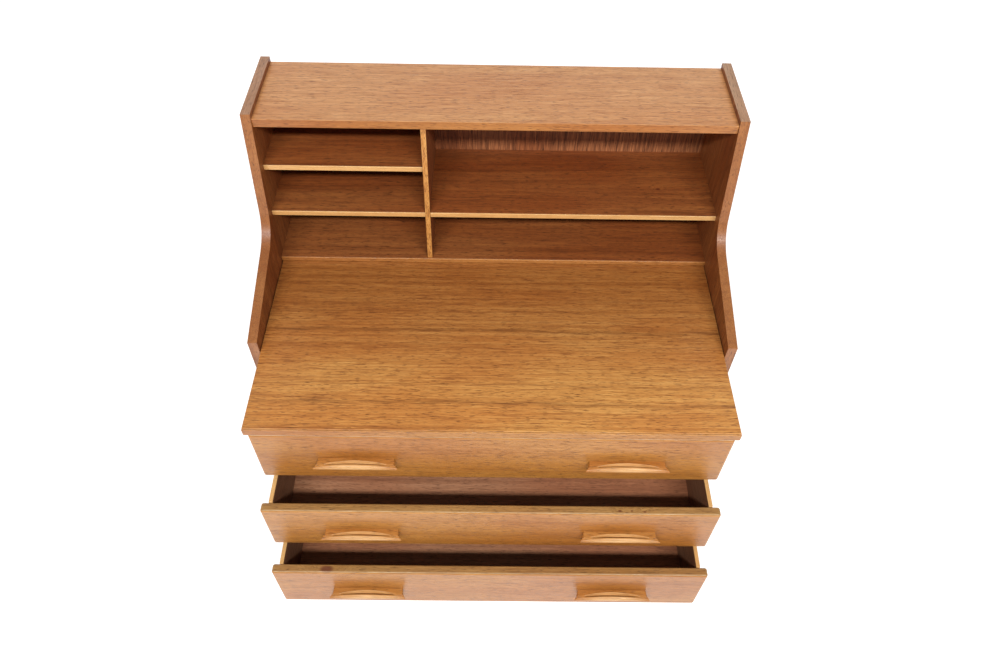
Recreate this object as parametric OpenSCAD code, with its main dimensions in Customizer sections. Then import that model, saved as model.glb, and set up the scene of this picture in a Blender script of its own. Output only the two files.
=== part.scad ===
// Secretary desk: a chest of three drawers on a low leg frame, a writing board that slides
// out above them, and a shallow hutch of open compartments between waisted side panels.
// Millimetres. +Z is up, the fronts face -Y, and the origin lies on the floor in the middle
// of the desk's outline with its drawers standing open as they are drawn.

/* [Case] */
// Overall width across the side panels
case_w = 900; // [780:10:1080]
// Depth of the side panels, front edge to back edge
case_d = 460; // [400:5:560]
// Thickness of a side panel
side_t = 17.5; // [15:0.5:22]
// Thickness of the case bottom
bottom_t = 18; // [12:1:24]
// Distance of the closed fronts behind the side panels' front edges
front_recess = 2; // [0:0.5:6]
// Thickness of the back panel
back_t = 6; // [4:1:9]
// Distance of the back panel in front of the side panels' back edges
back_inset = 2; // [1.5:0.5:6]
// Depth of the rebate that holds the back panel in each side
rebate_w = 8; // [5:1:10]
// Height of the back panel's lower edge above the case bottom's underside
back_foot_h = 6; // [2:1:10]

/* [Side outline] */
// Height of the side panels above the writing board
hutch_h = 325; // [260:5:420]
// Depth of the side panels at their top
hutch_top_d = 187; // [150:1:230]
// Depth of the side panels at the waist, measured to the sharp corner
waist_d = 236; // [190:1:290]
// Height of the waist's sharp corner above the writing board
waist_h = 90; // [70:1:120]
// Radius that rounds the waist
waist_r = 72; // [20:1:90]
// Height of the front shoulder above the writing board
shoulder_h = 25; // [14:1:45]

/* [Hutch] */
// Thickness of the top board
top_t = 16.5; // [12:0.5:22]
// Distance of the top board below the tops of the sides
top_drop = 9.5; // [0:0.5:20]
// Depth of the hutch floor
hutch_floor_d = 224.5; // [190:0.5:270]
// Thickness of the hutch floor
hutch_floor_t = 10; // [8:0.5:16]
// Thickness of a shelf
shelf_t = 10.7; // [8:0.1:16]
// Depth of the solid lipping along a shelf's front edge
lipping_d = 2.5; // [2:0.5:10]
// Distance of the shelf fronts behind the sloping edge of the sides
shelf_setback = 21; // [8:1:40]
// Height of the upper left shelf's top above the writing board
upper_shelf_h = 215.4; // [190:0.1:240]
// Height of the lower shelves' tops above the writing board
lower_shelf_h = 120.6; // [95:0.1:150]
// Thickness of the divider
divider_t = 10; // [8:0.5:18]
// Distance of the divider's middle from the desk's centre line, negative to the left
divider_x = -130; // [-200:1:-60]
// Distance of the divider's foot behind the hutch floor's front edge
divider_setback = 3.5; // [0:0.5:20]

/* [Fronts] */
// Height of the top drawer's front
top_front_h = 140; // [110:1:170]
// Height of the middle drawer's front
middle_front_h = 136; // [110:1:170]
// Height of the lower drawer's front
lower_front_h = 143; // [110:1:175]
// Thickness of a drawer front
front_t = 18.5; // [15:0.5:24]
// Gap above and below each front
front_gap = 1; // [0.6:0.1:2.5]
// Gap at each end of a front
front_end_gap = 0.7; // [0.4:0.1:2]
// Width of the stile that lines each side of the front opening
stile_w = 7.5; // [5:0.5:15]
// Depth of a stile
stile_d = 35; // [20:1:50]
// Thickness of the cross rails between the drawers
rail_t = 12; // [10:1:20]
// Depth of the cross rails
rail_d = 60; // [40:1:90]

/* [Drawers] */
// Distance a front stands out beyond each side of its box
box_overhang = 12.8; // [8:0.2:20]
// Thickness of the drawer sides and backs
box_t = 8; // [6:0.5:14]
// Thickness of a drawer bottom
box_bottom_t = 4; // [3:0.5:8]
// Height of the bottom's groove above the lower edge of the drawer sides
box_bottom_lift = 9; // [5:1:16]
// Depth of the groove that holds the bottom
groove_d = 4; // [2:0.5:5]
// Amount the drawer back is lower than the sides
box_back_drop = 12; // [0:1:30]
// Running gap under the drawer sides and under the writing board
run_gap = 0.4; // [0.2:0.1:1]
// Side gap between a drawer box and its guides
guide_gap = 0.8; // [0.4:0.1:2]
// Height of the guides that steer the boxes
guide_h = 14; // [8:1:25]
// Width of the runners under the drawer sides
runner_w = 42; // [36:1:70]
// Length of the stops behind the drawers
stop_l = 24; // [15:1:40]

/* [Writing board] */
// Thickness of the writing board
board_t = 16.5; // [12:0.5:22]
// Side gap between the board and each side panel
board_side_gap = 1.2; // [0.5:0.1:3]
// Gap between the board and the hutch floor
board_top_gap = 1; // [0.5:0.1:3]
// Depth of the board's solid front lipping
board_lipping_d = 3; // [2:0.5:20]
// Gap behind the closed board
board_back_gap = 8; // [3:1:30]
// Height of the bearers under the board's ends
bearer_h = 20; // [12:1:28]

/* [Drawn open] */
// Distance the writing board is drawn out
board_out = 173.5; // [60:0.5:180]
// Distance the top drawer is drawn out
top_out = 174; // [60:1:260]
// Distance the middle drawer is drawn out
middle_out = 239; // [60:1:260]
// Distance the lower drawer is drawn out
lower_out = 293; // [180:1:300]

/* [Handles] */
// Length of a handle where it meets the front
handle_l = 137; // [100:1:170]
// Distance the handle stands out from the front
handle_out = 20; // [14:1:28]
// Amount each end of the handle flares outwards at its lip
handle_flare = 8; // [4:1:14]
// Distance of the handles' middles from the centre line
handle_x = 245; // [170:1:280]
// Distance of the handle's upper edge below the middle of the front
handle_drop = 3; // [-10:1:20]
// Rise of the lip's middle above the handle's upper edge
lip_rise = 5; // [2:0.5:8]
// Fall of the lip from its middle to its ends
lip_fall = 6; // [2:0.5:10]
// Height of the handle below its upper edge at the front
handle_h = 20; // [15:1:30]
// Height of the lip's outer face below the handle's upper edge
lip_face_h = 6; // [3:0.5:10]
// Thickness of the lip's top
lip_t = 6; // [4:0.5:9]
// Width of the finger scoop behind the lip
scoop_w = 9; // [6:0.5:10]
// Depth of the finger scoop below the handle's upper edge
scoop_depth = 7; // [4:0.5:10]
// Length of the finger scoop
scoop_l = 112; // [80:1:130]
// Lean of the finger scoop in degrees, outwards as it goes down
scoop_lean = 12; // [0:1:15]
// Distance of the middle of the cove under the handle beyond the lip
cove_setout = 6; // [2:0.5:12]

/* [Base] */
// Height of the case bottom above the floor
leg_h = 256; // [180:1:320]
// Width of the square head of a leg
leg_head = 40; // [32:1:55]
// Height of the square head of a leg
leg_head_h = 70; // [60:1:110]
// Diameter of a leg at its foot
leg_foot_d = 24; // [18:1:34]
// Step between the square head of a leg and the round part below it
leg_step = 0.5; // [0.5:0.5:3]
// Distance of the legs in from the case ends
leg_inset_x = 60; // [30:1:120]
// Distance of the legs in from the case's front and back
leg_inset_y = 40; // [20:1:90]
// Height of the base rails
base_rail_h = 50; // [35:1:60]
// Thickness of the base rails
base_rail_t = 20; // [15:1:26]
// Distance of the base rails behind the legs' outer faces
base_rail_inset = 4; // [0:1:8]
// Width and height of the cleats inside the base
cleat_w = 20; // [16:1:26]
// Thickness of the glide under each foot
glide_t = 3; // [2:0.5:6]
// Diameter of the glides
glide_d = 19; // [12:1:24]

/* [Screws] */
// Diameter of the handle screws
handle_screw_d = 4; // [3:0.5:5]
// Depth of the handle screws in the handle
handle_screw_bite = 9; // [6:0.5:10]
// Distance between the two screws of a handle
handle_screw_pitch = 80; // [50:1:100]
// Diameter of the back panel's screws
back_screw_d = 3; // [2.5:0.5:4]
// Depth of the back panel's screws beyond the panel
back_screw_bite = 12; // [8:1:20]
// Number of screws up each edge of the back panel
back_screw_rows = 6; // [3:1:9]
// Diameter of the screws that hold the base to the case
base_screw_d = 5; // [4:0.5:6]
// Depth of the base screws in the case bottom
base_screw_bite = 12; // [8:1:14]
// Radial clearance round every screw
screw_clearance = 0.3; // [0.2:0.1:0.5]

/* [Hidden] */
$fn = 64;

// Colours of the timbers and metals
teak = "#b5753f";
teak_dark = "#8a5129";
teak_solid = "#c4854b";
blond = "#d9b98c";
ply = "#7d4a2c";
steel = "#b8b8b4";
nylon = "#e8e4da";

// Across the desk
half_w = case_w / 2;
inner_x = half_w - side_t;
stile_x = inner_x - stile_w;
front_half = stile_x - front_end_gap;
box_half = front_half - box_overhang;
guide_x = box_half + guide_gap;

// Front to back. The outline runs from the lower handles' lips to the side panels' backs.
reach = lower_out - front_recess + handle_out;
y_front = (reach - case_d) / 2;
y_back = y_front + case_d;
y_panel_back = y_back - back_inset;
y_panel = y_panel_back - back_t;
y_closed = y_front + front_recess;
y_hutch_top = y_back - hutch_top_d;
y_waist = y_back - waist_d;
y_hutch_floor = y_back - hutch_floor_d;
y_rail_back = y_closed + rail_d;
y_box_back = y_panel - stop_l;
box_l = y_box_back - y_closed - front_t;

// Up the desk, from the floor
z_bottom = leg_h + bottom_t;
z_lower = z_bottom + front_gap;
z_rail_lower = z_lower + lower_front_h + front_gap;
z_middle = z_rail_lower + rail_t + front_gap;
z_rail_upper = z_middle + middle_front_h + front_gap;
z_top_drawer = z_rail_upper + rail_t + front_gap;
z_board = z_top_drawer + top_front_h + front_gap;
z_writing = z_board + board_t;
z_bearer = z_board - run_gap;
z_hutch_floor = z_writing + board_top_gap;
z_floor_top = z_hutch_floor + hutch_floor_t;
z_side_top = z_writing + hutch_h;
z_top_board = z_side_top - top_drop - top_t;
z_waist = z_writing + waist_h;
z_shoulder = z_writing + shoulder_h;
z_upper_shelf = z_writing + upper_shelf_h - shelf_t;
z_lower_shelf = z_writing + lower_shelf_h - shelf_t;
z_back_foot = leg_h + back_foot_h;

// Each drawer: height of the front's lower edge, the front's height, the distance drawn out
TOP = [z_top_drawer, top_front_h, top_out];
MIDDLE = [z_middle, middle_front_h, middle_out];
LOWER = [z_lower, lower_front_h, lower_out];

divider_left = divider_x - divider_t / 2;
divider_right = divider_x + divider_t / 2;

// The screws' heads, and the gap left beyond their points
screw_head_ratio = 2;
screw_head_t = 1.2;
handle_head_t = 2.5;
base_head_t = 3;
screw_tip_gap = 0.5;

// The places of a handle's two screws, along X from its middle and below its upper edge
handle_screw_x = [-handle_screw_pitch / 2, handle_screw_pitch / 2];
handle_screw_z = -handle_h / 2;
half_lip = handle_l / 2 + handle_flare;

// How far a cutting solid runs past the face that it cuts, and the sides of a wide arc
cut = 1;
arc_fn = 256;

leg_x = half_w - leg_inset_x - leg_head / 2;
leg_y_front = y_front + leg_inset_y + leg_head / 2;
leg_y_back = y_back - leg_inset_y - leg_head / 2;
base_x = leg_x + leg_head / 2 - base_rail_inset;
base_y_front = leg_y_front - leg_head / 2 + base_rail_inset;
base_y_back = leg_y_back + leg_head / 2 - base_rail_inset;
cleat_x = base_x - base_rail_t - cleat_w / 2;
cleat_end_y = [leg_y_front + leg_head / 2 + cleat_w, leg_y_back - leg_head / 2 - cleat_w];
cleat_screw_y = [cleat_end_y[0] + cleat_w, cleat_end_y[1] - cleat_w];
back_screw_x = inner_x + rebate_w / 2;

// The y of the side panels' sloping front edge at height z above the waist
function slope_y(z) =
    y_waist + (z - z_waist) * (y_hutch_top - y_waist) / (z_side_top - z_waist);
function shelf_front_y(z_low) = slope_y(z_low + shelf_t) + shelf_setback;
function unit(v) = v / norm(v);
function back_screw_z(i) =
    z_back_foot + (z_top_board - z_back_foot) * (i + 0.5) / back_screw_rows;
function box_z(drawer) = drawer[0] - front_gap + run_gap;
function handle_z(drawer) = drawer[0] + drawer[1] / 2 - handle_drop;
function face_y(drawer) = y_closed - drawer[2];

// A box between two opposite corners
module block(low, high) {
    translate(low) cube(high - low);
}

// An outline in Y and Z, extruded along X from x to x + t
module slab_x(x, t) {
    translate([x, 0, 0]) rotate([90, 0, 90]) linear_extrude(t) children();
}

module bore_y(x, y, z, d, l) {
    translate([x, y, z]) rotate([-90, 0, 0]) cylinder(d = d, h = l);
}

// The concave waist corner, filled to an arc of radius r between the directions a and b
module corner_fill(p, a, b, r) {
    half_angle = acos(a * b) / 2;
    reach_t = r / tan(half_angle);
    centre = p + unit(a + b) * r / sin(half_angle);
    difference() {
        polygon([p, p + a * reach_t, centre, p + b * reach_t]);
        translate(centre) circle(r = r, $fn = arc_fn);
    }
}

module side_outline() {
    waist = [y_waist, z_waist];
    top_front = [y_hutch_top, z_side_top];
    shoulder = [y_front, z_shoulder];
    polygon([
        [y_front, leg_h], [y_back, leg_h], [y_back, z_side_top],
        top_front, waist, shoulder
    ]);
    corner_fill(waist, unit(top_front - waist), unit(shoulder - waist), waist_r);
}

module side_panel() {
    color(teak) difference() {
        slab_x(inner_x, side_t) side_outline();
        block([inner_x - cut, y_panel, z_back_foot],
              [inner_x + rebate_w, y_back + cut, z_top_board]);
        for (i = [0 : back_screw_rows - 1])
            bore_y(back_screw_x, y_panel - back_screw_bite, back_screw_z(i),
                   back_screw_d + 2 * screw_clearance, back_screw_bite + cut);
    }
}

module side_panel_right() { side_panel(); }
module side_panel_left() { mirror([1, 0, 0]) side_panel(); }

module top_board() {
    color(teak)
        block([-inner_x, y_hutch_top, z_top_board],
              [inner_x, y_panel_back, z_top_board + top_t]);
}

module hutch_floor() {
    color(teak_dark)
        block([-inner_x, y_hutch_floor + lipping_d, z_hutch_floor],
              [inner_x, y_panel, z_floor_top]);
}

module hutch_floor_lipping() {
    color(teak_solid)
        block([-inner_x, y_hutch_floor, z_hutch_floor],
              [inner_x, y_hutch_floor + lipping_d, z_floor_top]);
}

module divider() {
    color(teak) slab_x(divider_left, divider_t)
        polygon([
            [y_hutch_floor + divider_setback, z_floor_top], [y_panel, z_floor_top],
            [y_panel, z_top_board], [y_hutch_top, z_top_board]
        ]);
}

// A shelf from x_low to x_high at height z, behind its lipping
module shelf(x_low, x_high, z) {
    color(teak_dark)
        block([x_low, shelf_front_y(z) + lipping_d, z], [x_high, y_panel, z + shelf_t]);
}

module shelf_lipping(x_low, x_high, z) {
    color(blond)
        block([x_low, shelf_front_y(z), z],
              [x_high, shelf_front_y(z) + lipping_d, z + shelf_t]);
}

module shelf_upper_left() { shelf(-inner_x, divider_left, z_upper_shelf); }
module shelf_lower_left() { shelf(-inner_x, divider_left, z_lower_shelf); }
module shelf_right() { shelf(divider_right, inner_x, z_lower_shelf); }
module shelf_lipping_upper_left() { shelf_lipping(-inner_x, divider_left, z_upper_shelf); }
module shelf_lipping_lower_left() { shelf_lipping(-inner_x, divider_left, z_lower_shelf); }
module shelf_lipping_right() { shelf_lipping(divider_right, inner_x, z_lower_shelf); }

module back_panel() {
    color(ply) difference() {
        block([-inner_x - rebate_w, y_panel, z_back_foot],
              [inner_x + rebate_w, y_panel_back, z_top_board]);
        for (side = [-1, 1], i = [0 : back_screw_rows - 1])
            bore_y(side * back_screw_x, y_panel - cut, back_screw_z(i),
                   back_screw_d + 2 * screw_clearance, back_t + 2 * cut);
    }
}

module case_bottom() {
    color(teak_dark) difference() {
        block([-inner_x, y_closed, leg_h], [inner_x, y_panel, z_bottom]);
        for (side = [-1, 1], y = cleat_screw_y)
            translate([side * cleat_x, y, leg_h - cut])
                cylinder(d = base_screw_d + 2 * screw_clearance, h = base_screw_bite + cut);
    }
}

// The stiles that line the front opening
module front_stiles() {
    color(teak) for (side = [0, 1])
        mirror([side, 0, 0])
            block([stile_x, y_closed, z_bottom], [inner_x, y_closed + stile_d, z_bearer]);
}

// A cross rail, notched round the stiles
module rail(z) {
    color(teak) difference() {
        block([-inner_x, y_closed, z], [inner_x, y_rail_back, z + rail_t]);
        for (side = [0, 1])
            mirror([side, 0, 0])
                block([stile_x, y_closed - cut, z - cut],
                      [inner_x + cut, y_closed + stile_d, z + rail_t + cut]);
    }
}

module rail_upper() { rail(z_rail_upper); }
module rail_lower() { rail(z_rail_lower); }

// The two runners behind a cross rail, each with a guide along its outer edge
module runners(z) {
    color(blond) for (side = [0, 1])
        mirror([side, 0, 0]) union() {
            block([inner_x - runner_w, y_rail_back, z], [inner_x, y_panel, z + rail_t]);
            block([guide_x, y_rail_back, z], [inner_x, y_panel, z + rail_t + guide_h]);
        }
}

module runners_upper() { runners(z_rail_upper); }
module runners_lower() { runners(z_rail_lower); }

module guides_bottom() {
    color(blond) for (side = [0, 1])
        mirror([side, 0, 0])
            block([guide_x, y_rail_back, z_bottom], [inner_x, y_panel, z_bottom + guide_h]);
}

module board_bearers() {
    color(blond) for (side = [0, 1])
        mirror([side, 0, 0])
            block([guide_x, y_closed + stile_d, z_bearer - bearer_h],
                  [inner_x, y_panel, z_bearer]);
}

// Blocks that stop the boxes of all three drawers when they are shut
module drawer_stops() {
    color(blond) for (z = [z_bottom, z_rail_lower + rail_t, z_rail_upper + rail_t], side = [0, 1])
        mirror([side, 0, 0])
            block([inner_x - runner_w, y_box_back + run_gap, z],
                  [guide_x - guide_gap, y_panel, z + guide_h]);
}

// The base rails stand between the square heads of the legs
module base_rail_front() {
    color(teak)
        block([-leg_x + leg_head / 2, base_y_front, leg_h - base_rail_h],
              [leg_x - leg_head / 2, base_y_front + base_rail_t, leg_h]);
}

module base_rail_back() {
    color(teak)
        block([-leg_x + leg_head / 2, base_y_back - base_rail_t, leg_h - base_rail_h],
              [leg_x - leg_head / 2, base_y_back, leg_h]);
}

module base_rail_end() {
    color(teak)
        block([base_x - base_rail_t, leg_y_front + leg_head / 2, leg_h - base_rail_h],
              [base_x, leg_y_back - leg_head / 2, leg_h]);
}

module base_rail_right() { base_rail_end(); }
module base_rail_left() { mirror([1, 0, 0]) base_rail_end(); }

module leg(x, y) {
    color(teak_dark) translate([x, y, 0]) union() {
        translate([0, 0, glide_t])
            cylinder(d1 = leg_foot_d, d2 = leg_head - 2 * leg_step,
                     h = leg_h - leg_head_h - glide_t);
        block([-leg_head / 2, -leg_head / 2, leg_h - leg_head_h],
              [leg_head / 2, leg_head / 2, leg_h]);
    }
}

module leg_front_left() { leg(-leg_x, leg_y_front); }
module leg_front_right() { leg(leg_x, leg_y_front); }
module leg_back_left() { leg(-leg_x, leg_y_back); }
module leg_back_right() { leg(leg_x, leg_y_back); }

module leg_glides() {
    color(nylon) for (x = [-leg_x, leg_x], y = [leg_y_front, leg_y_back])
        translate([x, y, 0]) cylinder(d = glide_d, h = glide_t);
}

// Battens along the end rails, screwed up into the case bottom
module base_cleats() {
    color(blond) for (side = [0, 1])
        mirror([side, 0, 0]) difference() {
            block([cleat_x - cleat_w / 2, cleat_end_y[0], leg_h - cleat_w],
                  [cleat_x + cleat_w / 2, cleat_end_y[1], leg_h]);
            for (y = cleat_screw_y)
                translate([cleat_x, y, leg_h - cleat_w - cut])
                    cylinder(d = base_screw_d + 2 * screw_clearance, h = cleat_w + 2 * cut);
        }
}

module base_screws() {
    color(steel) for (x = [-cleat_x, cleat_x], y = cleat_screw_y)
        translate([x, y, leg_h - cleat_w - base_head_t]) union() {
            cylinder(d = base_screw_d * screw_head_ratio, h = base_head_t);
            cylinder(d = base_screw_d,
                     h = base_head_t + cleat_w + base_screw_bite - screw_tip_gap);
        }
}

module back_screws() {
    color(steel) for (side = [-1, 1], i = [0 : back_screw_rows - 1]) union() {
        bore_y(side * back_screw_x, y_panel_back, back_screw_z(i),
               back_screw_d * screw_head_ratio, screw_head_t);
        bore_y(side * back_screw_x, y_panel - back_screw_bite + screw_tip_gap,
               back_screw_z(i), back_screw_d,
               back_screw_bite - screw_tip_gap + back_t + screw_head_t);
    }
}

module writing_board() {
    color(teak)
        block([-inner_x + board_side_gap, y_closed - board_out + board_lipping_d, z_board],
              [inner_x - board_side_gap, y_panel - board_back_gap - board_out, z_writing]);
}

module writing_board_lipping() {
    color(teak_solid)
        block([-inner_x + board_side_gap, y_closed - board_out, z_board],
              [inner_x - board_side_gap, y_closed - board_out + board_lipping_d, z_writing]);
}

module drawer_front(drawer) {
    color(teak) difference() {
        block([-front_half, face_y(drawer), drawer[0]],
              [front_half, face_y(drawer) + front_t, drawer[0] + drawer[1]]);
        block([-box_half + groove_d, face_y(drawer) + front_t - groove_d,
               box_z(drawer) + box_bottom_lift],
              [box_half - groove_d, face_y(drawer) + front_t + cut,
               box_z(drawer) + box_bottom_lift + box_bottom_t]);
        for (x = [-handle_x, handle_x], dx = handle_screw_x)
            bore_y(x + dx, face_y(drawer) - cut, handle_z(drawer) + handle_screw_z,
                   handle_screw_d + 2 * screw_clearance, front_t + 2 * cut);
    }
}

module drawer_side(drawer) {
    y = face_y(drawer) + front_t;
    z = box_z(drawer);
    color(blond) difference() {
        block([box_half - box_t, y, z], [box_half, y + box_l, drawer[0] + drawer[1]]);
        block([box_half - box_t - cut, y - cut, z + box_bottom_lift],
              [box_half - box_t + groove_d, y + box_l + cut, z + box_bottom_lift + box_bottom_t]);
    }
}

module drawer_back(drawer) {
    y = face_y(drawer) + front_t + box_l;
    color(blond)
        block([-box_half + box_t, y - box_t, box_z(drawer) + box_bottom_lift + box_bottom_t],
              [box_half - box_t, y, drawer[0] + drawer[1] - box_back_drop]);
}

module drawer_bottom(drawer) {
    y = face_y(drawer) + front_t;
    z = box_z(drawer) + box_bottom_lift;
    color(ply) union() {
        block([-box_half + box_t - groove_d, y, z],
              [box_half - box_t + groove_d, y + box_l, z + box_bottom_t]);
        block([-box_half + box_t, y - groove_d, z], [box_half - box_t, y + cut, z + box_bottom_t]);
    }
}

// The plan of a handle: X along the front, Y outwards, with ends that flare in an arc
module handle_plan() {
    flare_r = (pow(handle_out, 2) + pow(handle_flare, 2)) / (2 * handle_flare);
    difference() {
        translate([-half_lip, 0]) square([2 * half_lip, handle_out]);
        for (side = [-1, 1])
            translate([side * (handle_l / 2 + flare_r), 0]) circle(r = flare_r, $fn = arc_fn);
    }
}

// The section of a handle: X outwards from the front, Y up from its upper edge
module handle_section() {
    cove_r = norm([cove_setout, handle_h - lip_face_h]);
    difference() {
        polygon([
            [0, -handle_h], [0, 0], [handle_out - lip_t, lip_rise],
            [handle_out, lip_rise], [handle_out, -handle_h]
        ]);
        translate([handle_out + cove_setout, -handle_h]) circle(r = cove_r, $fn = arc_fn);
    }
}

// A disc with a round edge that cuts the finger scoop. It leans outwards as it goes down.
module scoop_cutter() {
    cut_depth = (scoop_depth + lip_rise) / cos(scoop_lean);
    disc_r = (pow(scoop_l / 2, 2) + pow(cut_depth, 2)) / (2 * cut_depth);
    rim_r = scoop_w / 2;
    translate([0, handle_out - lip_t - rim_r / cos(scoop_lean), lip_rise])
        rotate([scoop_lean, 0, 0])
            translate([0, 0, disc_r - cut_depth])
                rotate([90, 0, 0])
                    rotate_extrude($fn = arc_fn) {
                        translate([0, -rim_r]) square([disc_r - rim_r, scoop_w]);
                        intersection() {
                            translate([disc_r - rim_r, 0]) circle(r = rim_r);
                            translate([disc_r - rim_r, -rim_r]) square([rim_r, scoop_w]);
                        }
                    }
}

// A handle about the middle of its upper edge, standing out along +Y
module handle_solid() {
    arch_r = (pow(half_lip, 2) + pow(lip_fall, 2)) / (2 * lip_fall);
    difference() {
        intersection() {
            translate([0, 0, -handle_h - cut])
                linear_extrude(handle_h + lip_rise + 2 * cut) handle_plan();
            translate([-half_lip - cut, 0, 0]) rotate([90, 0, 90])
                linear_extrude(2 * (half_lip + cut)) handle_section();
            translate([0, -cut, lip_rise - arch_r]) rotate([-90, 0, 0])
                cylinder(r = arch_r, h = handle_out + 2 * cut, $fn = arc_fn);
        }
        scoop_cutter();
        for (x = handle_screw_x)
            bore_y(x, -cut, handle_screw_z, handle_screw_d + 2 * screw_clearance,
                   cut + handle_screw_bite + screw_tip_gap);
    }
}

module handle(drawer, side) {
    color(teak_solid)
        translate([side * handle_x, face_y(drawer), handle_z(drawer)])
            mirror([0, 1, 0]) handle_solid();
}

// The four screws of a drawer's two handles, driven from inside the drawer
module handle_screws(drawer) {
    y = face_y(drawer);
    z = handle_z(drawer) + handle_screw_z;
    color(steel) for (x = [-handle_x, handle_x], dx = handle_screw_x) union() {
        bore_y(x + dx, y + front_t, z, handle_screw_d * screw_head_ratio, handle_head_t);
        bore_y(x + dx, y - handle_screw_bite, z, handle_screw_d,
               handle_screw_bite + front_t + handle_head_t);
    }
}

module top_drawer_front() { drawer_front(TOP); }
module top_drawer_side_right() { drawer_side(TOP); }
module top_drawer_side_left() { mirror([1, 0, 0]) drawer_side(TOP); }
module top_drawer_back() { drawer_back(TOP); }
module top_drawer_bottom() { drawer_bottom(TOP); }
module top_handle_left() { handle(TOP, -1); }
module top_handle_right() { handle(TOP, 1); }
module top_handle_screws() { handle_screws(TOP); }

module middle_drawer_front() { drawer_front(MIDDLE); }
module middle_drawer_side_right() { drawer_side(MIDDLE); }
module middle_drawer_side_left() { mirror([1, 0, 0]) drawer_side(MIDDLE); }
module middle_drawer_back() { drawer_back(MIDDLE); }
module middle_drawer_bottom() { drawer_bottom(MIDDLE); }
module middle_handle_left() { handle(MIDDLE, -1); }
module middle_handle_right() { handle(MIDDLE, 1); }
module middle_handle_screws() { handle_screws(MIDDLE); }

module lower_drawer_front() { drawer_front(LOWER); }
module lower_drawer_side_right() { drawer_side(LOWER); }
module lower_drawer_side_left() { mirror([1, 0, 0]) drawer_side(LOWER); }
module lower_drawer_back() { drawer_back(LOWER); }
module lower_drawer_bottom() { drawer_bottom(LOWER); }
module lower_handle_left() { handle(LOWER, -1); }
module lower_handle_right() { handle(LOWER, 1); }
module lower_handle_screws() { handle_screws(LOWER); }

side_panel_left();
side_panel_right();
top_board();
hutch_floor();
hutch_floor_lipping();
divider();
shelf_upper_left();
shelf_lower_left();
shelf_right();
shelf_lipping_upper_left();
shelf_lipping_lower_left();
shelf_lipping_right();
back_panel();
case_bottom();
front_stiles();
rail_upper();
rail_lower();
runners_upper();
runners_lower();
guides_bottom();
board_bearers();
drawer_stops();
base_rail_front();
base_rail_back();
base_rail_left();
base_rail_right();
leg_front_left();
leg_front_right();
leg_back_left();
leg_back_right();
leg_glides();
base_cleats();
base_screws();
back_screws();
writing_board();
writing_board_lipping();
top_drawer_front();
top_drawer_side_left();
top_drawer_side_right();
top_drawer_back();
top_drawer_bottom();
top_handle_left();
top_handle_right();
top_handle_screws();
middle_drawer_front();
middle_drawer_side_left();
middle_drawer_side_right();
middle_drawer_back();
middle_drawer_bottom();
middle_handle_left();
middle_handle_right();
middle_handle_screws();
lower_drawer_front();
lower_drawer_side_left();
lower_drawer_side_right();
lower_drawer_back();
lower_drawer_bottom();
lower_handle_left();
lower_handle_right();
lower_handle_screws();
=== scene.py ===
"""A teak secretary desk: three drawers, a writing board that slides out, and an open hutch.

Everything is in metres, with +Z up and the fronts facing -Y. Each sub-assembly is a class that
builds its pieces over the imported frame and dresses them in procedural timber.
"""

import logging
import math
from dataclasses import dataclass, field, replace
from enum import Enum

import bmesh
import bpy
from mathutils import Matrix, Vector


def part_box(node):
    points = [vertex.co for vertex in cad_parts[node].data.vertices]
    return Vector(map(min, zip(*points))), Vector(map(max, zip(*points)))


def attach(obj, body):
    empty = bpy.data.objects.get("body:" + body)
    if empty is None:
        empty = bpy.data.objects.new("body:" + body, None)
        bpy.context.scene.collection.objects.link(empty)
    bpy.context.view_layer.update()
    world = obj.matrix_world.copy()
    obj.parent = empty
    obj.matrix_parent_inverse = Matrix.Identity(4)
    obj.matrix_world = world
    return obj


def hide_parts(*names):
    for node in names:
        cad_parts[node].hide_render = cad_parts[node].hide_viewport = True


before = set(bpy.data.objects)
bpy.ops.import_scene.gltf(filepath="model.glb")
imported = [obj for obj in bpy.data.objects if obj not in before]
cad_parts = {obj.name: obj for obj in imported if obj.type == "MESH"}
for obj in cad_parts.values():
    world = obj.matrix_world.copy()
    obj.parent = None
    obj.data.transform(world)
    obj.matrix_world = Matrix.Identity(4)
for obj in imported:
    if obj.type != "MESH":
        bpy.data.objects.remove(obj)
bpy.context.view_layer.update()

LOG = logging.getLogger("secretary_desk")
MM = 0.001
MERGE_GAP = 0.01 * MM
HARDWARE_EDGE = 0.4 * MM
# Faces in this layer are lightened: real wear on rounded edges, and painted highlight on the handles.
EDGE_LAYER = "scuffed_edge_and_highlight"

# The least part of a face's normal along a side's direction for the face to be on that side.
FACING = 0.72

# The values of the noise between which each mark of a finish fades in or out.
PALE_BANDS = (0.36, 0.52)
DEEP_BANDS = (0.5, 0.68)
PALE_FIBRES = (0.28, 0.48)
DEEP_FIBRES = (0.52, 0.72)
WARM_PATCHES = (0.4, 0.62)
OPEN_PORES = (0.57, 0.69)
STREAK_BREAKS = (0.34, 0.62)
STAINS = (0.45, 0.7)
MIDDLE_NOISE = (0.3, 0.7)

Triple = tuple[float, float, float]
Shade = tuple[float, float, float, float]


class Grain(Enum):
    """The direction that a timber's grain runs in, with the turn that lays it along X."""

    ALONG_X = (0.0, 0.0, 0.0)
    ALONG_Y = (0.0, 0.0, -math.pi / 2)
    ALONG_Z = (0.0, math.pi / 2, 0.0)


class Side(Enum):
    """The way that a face of a piece looks."""

    FRONT = (0, -1, 0)
    LEFT = (-1, 0, 0)
    RIGHT = (1, 0, 0)
    TOP = (0, 0, 1)


def shade(code: str) -> Shade:
    """Turn a colour code such as #c08040 into linear light.

    Args:
        code: Six hexadecimal digits after a hash.

    Returns:
        The linear red, green and blue, and an alpha of 1.
    """
    parts = [int(code[i:i + 2], 16) / 255 for i in (1, 3, 5)]
    linear = [c / 12.92 if c <= 0.04045 else ((c + 0.055) / 1.055) ** 2.4 for c in parts]
    return (linear[0], linear[1], linear[2], 1.0)


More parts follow.
